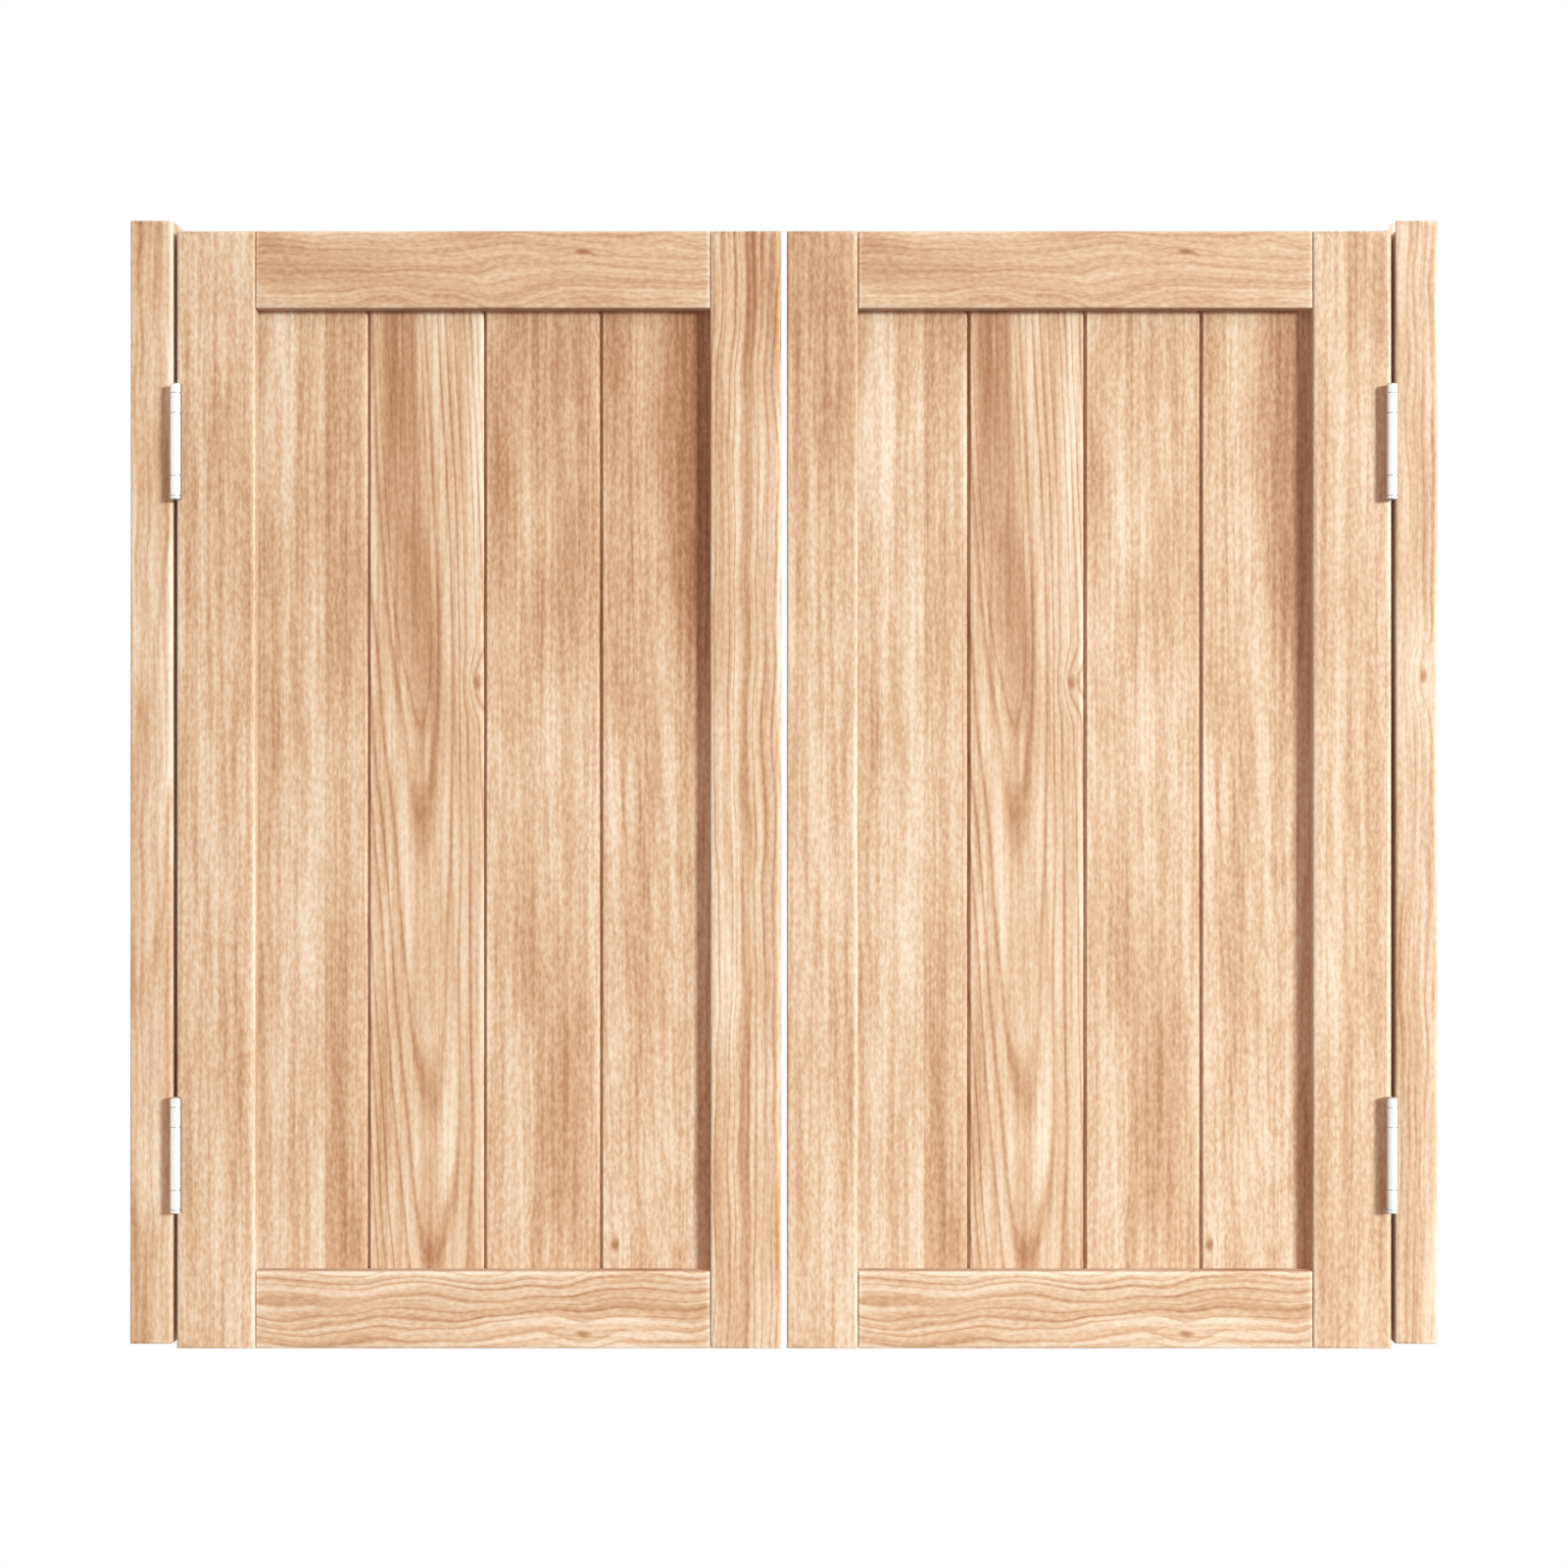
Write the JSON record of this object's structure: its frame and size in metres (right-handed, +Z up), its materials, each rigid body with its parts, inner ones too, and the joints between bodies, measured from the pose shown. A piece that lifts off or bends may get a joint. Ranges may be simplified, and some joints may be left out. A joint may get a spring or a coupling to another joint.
{
  "type": "cafe swinging doors",
  "caption": "Cafe swinging doors: recessed-panel wooden leaves of upright boards between slim jamb posts, on double-action spring hinges that let each leaf swing either way and close itself.",
  "frame": {"origin": "under the middle of the doorway, level with the foot of the leaves", "axes": "+X across the doorway to the right as seen from the front, +Y through the doorway towards the back, +Z up"},
  "size_m": [1.135, 0.0592, 0.979],
  "materials": {
    "oak_timber": "clear-oiled light oak",
    "satin_steel": "satin",
    "spring_steel": "oiled spring steel"
  },
  "bodies": {
    "jambs": {"left_jamb_post": "oak_timber", "right_jamb_post": "oak_timber", "left_upper_jamb_flange": "satin_steel", "left_upper_jamb_spindle": "satin_steel", "left_upper_jamb_tension_cap": "satin_steel", "left_lower_jamb_flange": "satin_steel", "left_lower_jamb_spindle": "satin_steel", "left_lower_jamb_tension_cap": "satin_steel", "right_upper_jamb_flange": "satin_steel", "right_upper_jamb_spindle": "satin_steel", "right_upper_jamb_tension_cap": "satin_steel", "right_lower_jamb_flange": "satin_steel", "right_lower_jamb_spindle": "satin_steel", "right_lower_jamb_tension_cap": "satin_steel"},
    "left_link": {"left_upper_center_web": "satin_steel", "left_upper_jamb_spring": "spring_steel", "left_upper_leaf_spring": "spring_steel", "left_lower_center_web": "satin_steel", "left_lower_jamb_spring": "spring_steel", "left_lower_leaf_spring": "spring_steel"},
    "left_leaf": {"left_hinge_stile": "oak_timber", "left_meeting_stile": "oak_timber", "left_top_rail": "oak_timber", "left_bottom_rail": "oak_timber", "left_panel_board_1": "oak_timber", "left_panel_board_2": "oak_timber", "left_panel_board_3": "oak_timber", "left_panel_board_4": "oak_timber", "left_upper_leaf_flange": "satin_steel", "left_upper_leaf_spindle": "satin_steel", "left_upper_leaf_tension_cap": "satin_steel", "left_lower_leaf_flange": "satin_steel", "left_lower_leaf_spindle": "satin_steel", "left_lower_leaf_tension_cap": "satin_steel"},
    "right_link": {"right_upper_center_web": "satin_steel", "right_upper_jamb_spring": "spring_steel", "right_upper_leaf_spring": "spring_steel", "right_lower_center_web": "satin_steel", "right_lower_jamb_spring": "spring_steel", "right_lower_leaf_spring": "spring_steel"},
    "right_leaf": {"right_hinge_stile": "oak_timber", "right_meeting_stile": "oak_timber", "right_top_rail": "oak_timber", "right_bottom_rail": "oak_timber", "right_panel_board_1": "oak_timber", "right_panel_board_2": "oak_timber", "right_panel_board_3": "oak_timber", "right_panel_board_4": "oak_timber", "right_upper_leaf_flange": "satin_steel", "right_upper_leaf_spindle": "satin_steel", "right_upper_leaf_tension_cap": "satin_steel", "right_lower_leaf_flange": "satin_steel", "right_lower_leaf_spindle": "satin_steel", "right_lower_leaf_tension_cap": "satin_steel"}
  },
  "joints": [
    {"name": "left_jamb_barrel_swing", "type": "hinge", "parent": "jambs", "child": "left_link", "pos_m": [-0.5258, -0.0246, 0.485], "axis": [0, 0, -1], "range_deg": [0, 100], "stiffness_Nm_per_rad": 5, "springref_deg": -34.38, "deforming": ["left_upper_jamb_spring", "left_lower_jamb_spring"]},
    {"name": "left_leaf_barrel_swing", "type": "hinge", "parent": "left_link", "child": "left_leaf", "pos_m": [-0.5258, 0.0246, 0.485], "axis": [0, 0, 1], "range_deg": [0, 100], "stiffness_Nm_per_rad": 5, "springref_deg": -34.38, "deforming": ["left_upper_leaf_spring", "left_lower_leaf_spring"]},
    {"name": "right_jamb_barrel_swing", "type": "hinge", "parent": "jambs", "child": "right_link", "pos_m": [0.5258, 0.0246, 0.485], "axis": [0, 0, -1], "range_deg": [0, 100], "stiffness_Nm_per_rad": 5, "springref_deg": -34.38, "deforming": ["right_upper_jamb_spring", "right_lower_jamb_spring"]},
    {"name": "right_leaf_barrel_swing", "type": "hinge", "parent": "right_link", "child": "right_leaf", "pos_m": [0.5258, -0.0246, 0.485], "axis": [0, 0, 1], "range_deg": [0, 100], "stiffness_Nm_per_rad": 5, "springref_deg": -34.38, "deforming": ["right_upper_leaf_spring", "right_lower_leaf_spring"]}
  ]
}
